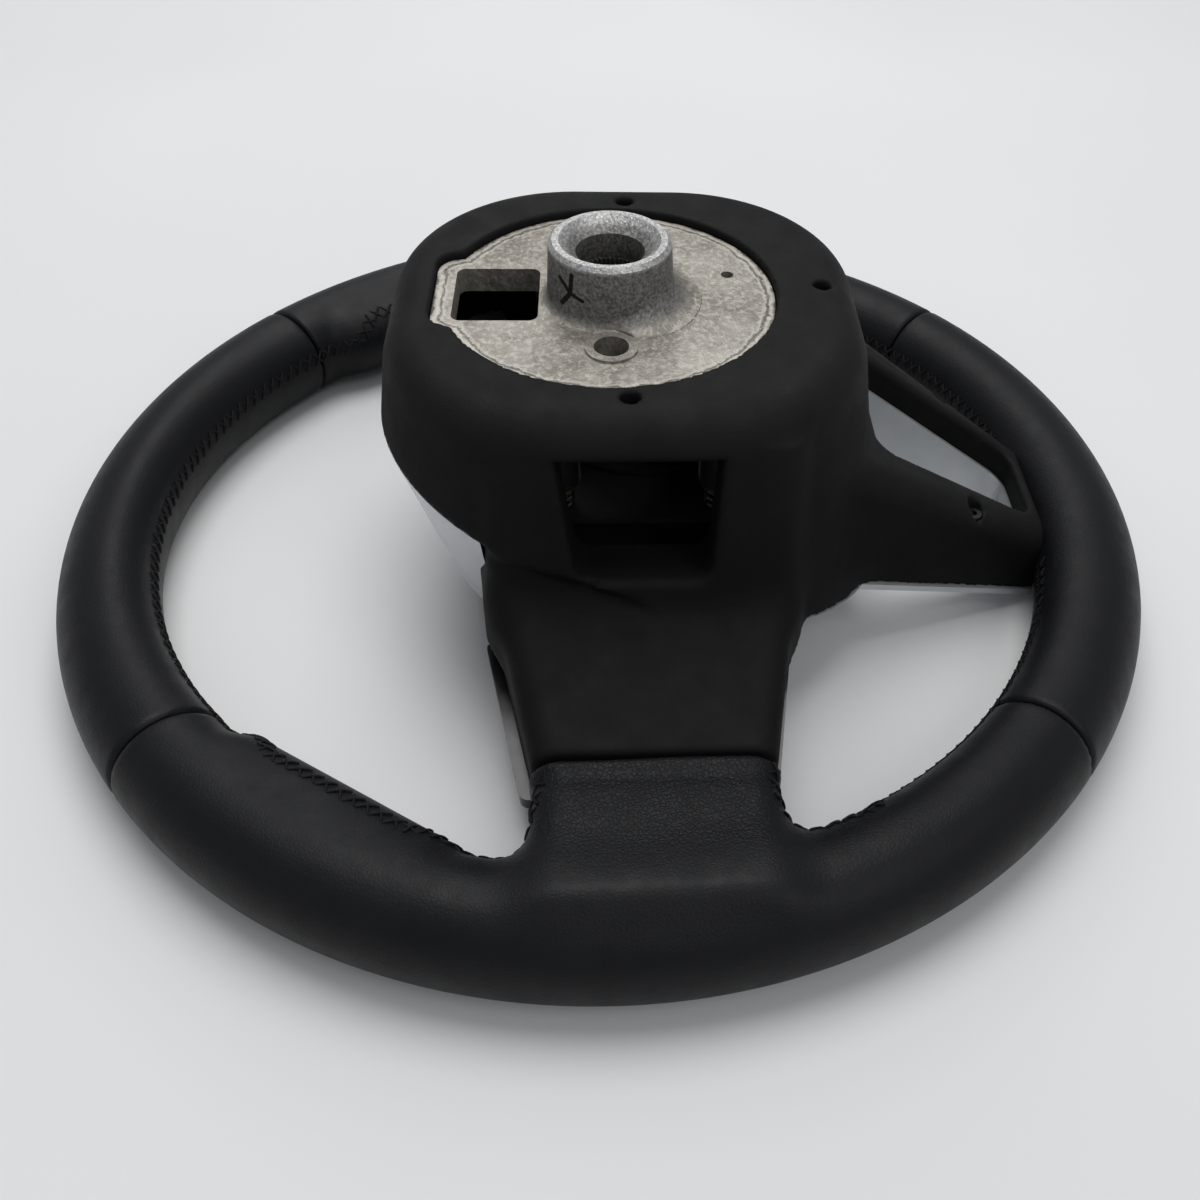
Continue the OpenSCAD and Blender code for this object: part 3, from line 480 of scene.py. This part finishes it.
def right_panel(x, y, z):
    panel = smooth_cut(rim_field(x, y, z), SEAM_GAP - past_seam(x, y, UPPER_SEAM), SEAM_ROUND)
    panel = smooth_cut(panel, past_seam(x, y, LOWER_SEAM) + SEAM_GAP, SEAM_ROUND)
    return smooth_cut(panel, x, 0.5)


def upper_panel(x, y, z):
    return smooth_cut(rim_field(x, y, z), past_seam(x, y, UPPER_SEAM) + SEAM_GAP, SEAM_ROUND)


def lower_panel(x, y, z):
    return smooth_cut(rim_field(x, y, z), SEAM_GAP - past_seam(x, y, LOWER_SEAM), SEAM_ROUND)


def mirrored(obj, name):
    """A copy on the other side of the wheel's middle plane"""
    mesh = obj.data.copy()
    mesh.materials.clear()
    points = np.empty(len(mesh.vertices) * 3, dtype=np.float32)
    mesh.vertices.foreach_get("co", points)
    points[0::3] *= -1
    mesh.vertices.foreach_set("co", points)
    mesh.flip_normals()
    return place(bpy.data.objects.new(name, mesh))


CELL = 1.35
top = mesh_of(upper_panel, (-122, 104, -20), (122, 188, 20), CELL, "leather_top_panel")
dress(top, LEATHER, replaces=("leather_upper",))
bottom = mesh_of(lower_panel, (-124, -188, -20), (124, -106, 20), CELL, "leather_bottom_panel")
dress(bottom, LEATHER, replaces=("leather_lower",))
right = mesh_of(right_panel, (-188, -146, -21), (-84, 148, 26), CELL, "leather_right_panel")
dress(right, LEATHER, replaces=("leather_right",))
left = mirrored(right, "leather_left_panel")
dress(left, LEATHER, replaces=("leather_left",))


# Cross stitches along the rim's inner line, up the thumb rests and the sides of the spoke roots

SEAM_Z = 5.0
REST_RISE, REST_FROM, REST_TO, REST_RAMP = 7.5, 44, 73, 5
ROOT_RISE, ROOT_RISE_END, ROOT_RISE_RUN = 9.5, 152, 22
STITCH_PITCH, STITCH_WIDTH, THREAD_RADIUS, STITCH_SCATTER = 4.8, 5.2, 0.5, 0.22
THREAD_SIDES, THREAD_RINGS = 6, 6


def seam_height(x, y):
    """Height of the seam over the rim's middle plane"""
    turn = np.degrees(np.arctan2(np.abs(x), y))
    rise = np.clip((turn - REST_FROM) / REST_RAMP, 0, 1) * np.clip((REST_TO - turn) / REST_RAMP, 0, 1)
    up = np.clip((ROOT_RISE_END - np.abs(x)) / ROOT_RISE_RUN, 0, 1)
    at_root = (np.abs(x) < 158) & (np.abs(y - ROOT_Y) < 62) & (np.abs(x) > 120)
    return np.where(at_root, SEAM_Z + ROOT_RISE * (up * up * (3 - 2 * up)), SEAM_Z + REST_RISE * rise)


def inner_line(origin_y, from_turn, to_turn, count):
    """Points where rays from a point on the wheel's middle line meet the leather's inner side"""
    turns = np.linspace(math.radians(from_turn), math.radians(to_turn), count)
    way_x, way_y = np.sin(turns), np.cos(turns)
    z = np.full(count, SEAM_Z)
    for _ in range(4):
        reach = np.full(count, 20.0)
        for _ in range(90):
            reach += np.clip(rim_field(way_x * reach, origin_y + way_y * reach, z) * 0.75, -2, 6)
        x, y = way_x * reach, origin_y + way_y * reach
        z = seam_height(x, y)
    return np.stack([x, y, z], 1)


def surface_at(points):
    """The leather's outward direction at the points, and how far they lie outside it"""
    value, rises = slopes(rim_field, points, 0.2)
    return rises / np.maximum(np.linalg.norm(rises, axis=1), 1e-6)[:, None], value


def along(path, arc, at):
    """Points at the lengths along the path that at gives, where arc is the length at each of its points"""
    return np.stack([np.interp(at, arc, path[:, axis]) for axis in range(3)], 1)


def thread_tube(start, end, lift):
    """Points round a thread that runs over the leather from start to end"""
    share = np.linspace(0, 1, THREAD_RINGS)
    line = start + (end - start) * share[:, None]
    outward, outside = surface_at(line)
    line += outward * (-outside + 0.36 * np.sin(share * math.pi) ** 0.5 - 0.18 + lift)[:, None]
    side = np.cross(outward, (end - start) / np.linalg.norm(end - start))
    side /= np.linalg.norm(side, axis=1)[:, None]
    turn = np.linspace(0, 2 * math.pi, THREAD_SIDES, endpoint=False)
    return (line[:, None] + side[:, None] * (THREAD_RADIUS * np.cos(turn))[None, :, None]
            + outward[:, None] * (THREAD_RADIUS * np.sin(turn))[None, :, None]).reshape(-1, 3)


def stitches(paths, name):
    scatter = np.random.default_rng(7)
    tube_quads = grid_quads(THREAD_RINGS, THREAD_SIDES, closed=False)[:, [0, 3, 2, 1]]
    tubes = []
    for path in paths:
        arc = np.concatenate([[0], np.cumsum(np.linalg.norm(np.diff(path, axis=0), axis=1))])
        stations = np.arange(STITCH_PITCH * 0.5, arc[-1], STITCH_PITCH)
        middle = along(path, arc, stations)
        forward = along(path, arc, stations + 0.8) - along(path, arc, stations - 0.8)
        forward /= np.maximum(np.linalg.norm(forward, axis=1), 1e-6)[:, None]
        outward, outside = surface_at(middle)
        middle = middle - outward * outside[:, None]
        across = np.cross(outward, forward)
        for k in range(len(stations)):
            for sign in (-1, 1):
                shift = scatter.normal(0, STITCH_SCATTER, 4)
                start = (middle[k] + forward[k] * (-STITCH_PITCH * 0.42 + shift[0])
                         + across[k] * (-sign * STITCH_WIDTH / 2 + shift[1]))
                end = (middle[k] + forward[k] * (STITCH_PITCH * 0.42 + shift[2])
                       + across[k] * (sign * STITCH_WIDTH / 2 + shift[3]))
                tubes.append(thread_tube(start, end, 0.12 * sign))
    tube_points = THREAD_RINGS * THREAD_SIDES
    quads = [k * tube_points + tube_quads for k in range(len(tubes))]
    return build_mesh(name, np.concatenate(tubes), np.concatenate(quads))


seam_lines = (
    inner_line(70, -110.5, 110.5, 900),
    inner_line(-85, -72, -154, 420),
    inner_line(-85, 72, 154, 420),
)
thread = stitches([line[np.abs(line[:, 0]) < 190] for line in seam_lines], "rim_stitching")
dress(thread, THREAD)


# The foam moulding, with the core of the rim that the leather covers

HUB_Y, HUB_BACK, HUB_EDGE = -5, 93, 10
HUB_HALF_X, HUB_HALF_Y, HUB_CORNER, HUB_FLARE = 71, 71.5, 55, 0.16
CAVITY_HALF_X, CAVITY_HALF_Y, CAVITY_CORNER, CAVITY_BACK = 61, 61.5, 45, 87.5
BARE_RADIUS, BARE_FRONT = 51.4, 86.5
JOINT_SLOPE, JOINT_Y, JOINT_DROP = 0.34177, -150, 11.7
ARM_ROOT, ARM_RUN, ARM_END, ARM_INSIDE = 64, 58, 121.7, 50
STRUT_FOOT, STRUT_OUT, STRUT_LEAN = 31, 78.5, 0.2115
GAP_FRONT, GAP_HEIGHT, GAP_BACK = 43, 39, 82
LOW_START, LOW_RUN, LOW_END = -71, 79, -149.6
SLOT_TOP, SLOT_BOTTOM, SLOT_HALF, SLOT_GROW = -87, -144, 25, 1.8
HUB_HOLES, HUB_HOLE_RADIUS, HUB_HOLE_FLOOR = ((-56.6, -5), (56.6, -5), (3, -66.2)), 2.9, 85
SCREW_X, SCREW_Y, SCREW_RADIUS, SCREW_FLOOR = 30, -120, 3, 21
CORE_OFFSET, CORE_HALF_WIDTH, CORE_HALF_HEIGHT = 1.5, 13.5, 15.5
CORE_RINGS, CORE_SIDES = 96, 12


def hub_form(x, y, z):
    """The hub's outside, cut at the slanting joint with the silver bezel"""
    outline = rectangle(x, y - HUB_Y, HUB_HALF_X, HUB_HALF_Y, HUB_CORNER)
    wall = 0.987 * (outline - HUB_FLARE * (HUB_BACK - z))
    joint = (JOINT_SLOPE * (y - JOINT_Y) - JOINT_DROP - z) * 0.946
    return np.maximum(round_cut(wall, z - HUB_BACK, HUB_EDGE), joint)


def side_arm(across, y, z):
    """Side spoke, a tapered plate, and the struts that rise from its knee to the hub"""
    part = (across - ARM_ROOT) / ARM_RUN
    wide = (np.abs(y + 9 + 2 * part) - (47 - 12 * part)) * 0.98
    back = (z - (38 - 19 * part)) * 0.95
    front = -4 + 0.1724 * (128 - across) - z
    spoke = round_cut(round_cut(wide, back, 8), across - ARM_END, 1.2)
    spoke = np.maximum(np.maximum(spoke, front), np.maximum(across - ARM_END - 0.3, ARM_INSIDE - across))
    outside = (across - (STRUT_OUT - STRUT_LEAN * (z - STRUT_FOOT))) * 0.978
    wide = np.abs(y + 9) - (47 - 1.0 * np.clip((z - STRUT_FOOT) / 52, 0, 1))
    strut = round_cut(wide, outside, 8)
    strut = np.maximum(np.maximum(strut, z - 83), np.maximum(18 - z, ARM_INSIDE - across))
    return smooth_union(spoke, strut, 9)


def strut_gap(across, y, z):
    """The opening between the two struts of a side"""
    up = (z - GAP_FRONT) / GAP_HEIGHT
    gap = round_cut(np.abs(y + 8.5 - 1.25 * up) - 19.5 - 3.75 * up, GAP_FRONT - z, 5)
    return np.maximum(np.maximum(gap, 48 - across), z - GAP_BACK)


def lower_spoke(across, y, z):
    part = (LOW_START - y) / LOW_RUN
    wide = (across - (50 - 23 * part)) * 0.96
    back = (z - (62 - 50 * part)) * 0.845
    front = 15 - 27 * part - z
    return np.maximum(np.maximum(round_cut(wide, back, 9), front), np.maximum(LOW_END - y, y + 50))


def lower_slot(across, y):
    """The opening in the lower spoke, with its sleeve's thickness"""
    half = SLOT_HALF - 9.5 * (SLOT_TOP - y) / (SLOT_TOP - SLOT_BOTTOM)
    side = (across - half) * 0.986
    slot = round_cut(round_cut(side, y - SLOT_TOP, 5), SLOT_BOTTOM - y, 5) - SLOT_GROW
    return np.maximum(slot, -y - 170)


def foam_field(x, y, z):
    across = np.abs(x)
    body = smooth_union(hub_form(x, y, z), side_arm(across, y, z), 3.5)
    body = smooth_cut(body, -strut_gap(across, y, z), 2.5)
    body = smooth_union(body, lower_spoke(across, y, z), 3)
    body = smooth_cut(body, -lower_slot(across, y), 3)
    # space for the airbag, and the bare metal
    cavity = rectangle(x, y - HUB_Y, CAVITY_HALF_X, CAVITY_HALF_Y, CAVITY_CORNER)
    body = np.maximum(body, -np.maximum(cavity, z - CAVITY_BACK))
    bare = np.minimum(np.hypot(x, y) - BARE_RADIUS, rectangle(x - 1, y - 36, 21.4, 18.4, 8))
    body = smooth_cut(body, -np.maximum(bare, BARE_FRONT - z), 0.6)
    for hole_x, hole_y in HUB_HOLES:
        hole = np.hypot(x - hole_x, y - hole_y) - HUB_HOLE_RADIUS
        body = np.maximum(body, -np.maximum(hole, HUB_HOLE_FLOOR - z))
    screw = np.hypot(across - SCREW_X, y - SCREW_Y) - SCREW_RADIUS
    body = smooth_cut(body, -np.maximum(screw, SCREW_FLOOR - z), 0.8)
    # seat of the switch housing
    housing = np.maximum(rectangle(across - 97 - 0.17 * (z - 2), y + 9, 16.8, 21, 2), z - 17)
    return np.maximum(body, -housing)


def rim_core():
    """The foam ring inside the leather"""
    turn = np.linspace(0, 2 * math.pi, CORE_RINGS, endpoint=False)[:, None]
    round_turn = np.linspace(0, 2 * math.pi, CORE_SIDES, endpoint=False)[None, :]
    radius = RIM_RADIUS + CORE_OFFSET + CORE_HALF_WIDTH * np.cos(round_turn)
    height = np.broadcast_to(CORE_HALF_HEIGHT * np.sin(round_turn), (CORE_RINGS, CORE_SIDES))
    points = np.stack([radius * np.cos(turn), radius * np.sin(turn), height], -1).reshape(-1, 3)
    return build_mesh("foam_core", points, grid_quads(CORE_RINGS, CORE_SIDES, closed=True))


foam = mesh_of(foam_field, (-124, -152, -16), (124, 82, 96), CELL * 1.15, "foam_moulding")
core = rim_core()
bpy.ops.object.select_all(action="DESELECT")
core.select_set(True)
foam.select_set(True)
bpy.context.view_layer.objects.active = foam
bpy.ops.object.join()
dress(foam, FOAM, replaces=("foam_body",))


# The boss's wide foot, which the window and the ring round the bolt hole cut

FOOT_START, FOOT_INSIDE, FOOT_FRONT, PLATE_BACK = 18.9, 17.6, 90.2, 90.5


def foot_field(x, y, z):
    radius = np.hypot(x, y)
    fillet = 1.2 + 8.6 * np.clip(0.45 - 0.75 * y / np.maximum(radius, 1), 0, 1)
    centre, top = FOOT_START + fillet, PLATE_BACK + fillet
    hollow = fillet - np.hypot(np.minimum(radius, centre) - centre, np.minimum(z, top) - top)
    foot = np.maximum(hollow, radius - centre + 0.3)
    foot = np.maximum(np.maximum(foot, z - top + 0.4), np.maximum(FOOT_FRONT - z, FOOT_INSIDE - radius))
    foot = np.maximum(foot, -rectangle(x - 1, y - 35, 15, 13, 3))
    return round_cut(foot, 8.4 - np.hypot(x + 29, y), 1.2)


foot = mesh_of(foot_field, (-31, -31, 88), (31, 31, 102), 0.5, "boss_foot_fillet")
dress(foot, CAST)


# The folded airbag, packed round the gas generator

PACK_Y, PACK_MIDDLE_Z, PACK_HALF_HEIGHT = -8, 23.1, 20.8
GENERATOR_RADIUS, GENERATOR_FRONT = 29.6, 33.4


def pack_field(x, y, z):
    folds = 0.5 * np.abs(np.sin(z * 0.62 + 0.03 * x)) + 0.35 * np.abs(np.sin(x * 0.21) * np.sin(y * 0.19))
    side = rectangle(x, y - PACK_Y, 37.4, 41.4, 7) + folds
    pack = round_cut(side, np.abs(z - PACK_MIDDLE_Z) - PACK_HALF_HEIGHT + folds, 3)
    return np.maximum(pack, -np.maximum(np.hypot(x, y - PACK_Y) - GENERATOR_RADIUS, GENERATOR_FRONT - z))


airbag = mesh_of(pack_field, (-41, -53, 0), (41, 37, 46), CELL * 1.3, "airbag_pack")
dress(airbag, CLOTH, "horn_module", replaces=("airbag_cushion",))


# Camera at the photograph's view, fitted to the rim's outlines: lengths in mm, angles in radians

PHOTO_SIDE, FOCAL_PIXELS, MIDDLE_U, MIDDLE_V = 1200, 1239.408, 700.306, 583.885
EYE_DISTANCE, EYE_ELEVATION, EYE_ROLL = 447.653, 0.717, 0.054
AIM = (0, -32.588, -34.097)
SENSOR = 36


def photo_camera():
    eye = Vector((-EYE_DISTANCE * math.cos(EYE_ELEVATION), 0,
                  EYE_DISTANCE * math.sin(EYE_ELEVATION) + RIM_Z)) / 1000
    aim = Vector((AIM[0], AIM[1], AIM[2] + RIM_Z)) / 1000
    forward = (aim - eye).normalized()
    level = forward.cross(Vector((0, 0, 1))).normalized()
    upright = level.cross(forward)
    across = math.cos(EYE_ROLL) * level + math.sin(EYE_ROLL) * upright
    up = -math.sin(EYE_ROLL) * level + math.cos(EYE_ROLL) * upright
    data = bpy.data.cameras.new("camera")
    data.sensor_width = SENSOR
    data.lens = FOCAL_PIXELS / PHOTO_SIDE * SENSOR
    data.shift_x = (PHOTO_SIDE / 2 - MIDDLE_U) / PHOTO_SIDE
    data.shift_y = (MIDDLE_V - PHOTO_SIDE / 2) / PHOTO_SIDE
    camera = place(bpy.data.objects.new("camera", data))
    matrix = Matrix((across, up, -forward)).transposed().to_4x4()
    matrix.translation = eye
    camera.matrix_world = matrix
    bpy.context.scene.camera = camera


def area_light(name, position, target, size, power):
    data = bpy.data.lights.new(name, "AREA")
    data.shape = "DISK"
    data.size = size
    data.energy = power
    light = place(bpy.data.objects.new(name, data))
    light.location = position
    light.rotation_euler = (Vector(target) - Vector(position)).to_track_quat("-Z", "Y").to_euler()


def studio_world():
    world = bpy.data.worlds.new("studio")
    bpy.context.scene.world = world
    world.use_nodes = True
    background = world.node_tree.nodes["Background"]
    background.inputs["Color"].default_value = (0.93, 0.95, 1.0, 1)
    background.inputs["Strength"].default_value = 0.36


def paper_floor():
    reach = 4
    mesh = bpy.data.meshes.new("floor")
    corners = [(-reach, -reach, 0), (reach, -reach, 0), (reach, reach, 0), (-reach, reach, 0)]
    mesh.from_pydata(corners, [], [(0, 1, 2, 3)])
    floor = place(bpy.data.objects.new("floor", mesh))
    shader = Shader("floor_paper")
    cloud = shader.remap(shader.noise(3, 2), 0.3, 0.7, 0, 1)
    mesh.materials.append(shader.apply(
        base_color=shader.mix(cloud, (0.69, 0.69, 0.69), (0.72, 0.72, 0.72)),
        roughness=0.7,
        specular=0.2))


photo_camera()
area_light("top_softbox", (0.4, 0.0, 1.7), (0, 0, 0), 1.3, 19)
area_light("back_softbox", (1.5, 0.2, 1.2), (0, 0, 0.05), 1.0, 5)
area_light("near_softbox", (-1.1, -1.0, 1.6), (0, 0, 0), 1.2, 8)
studio_world()
paper_floor()
bpy.context.scene.view_settings.view_transform = "Standard"
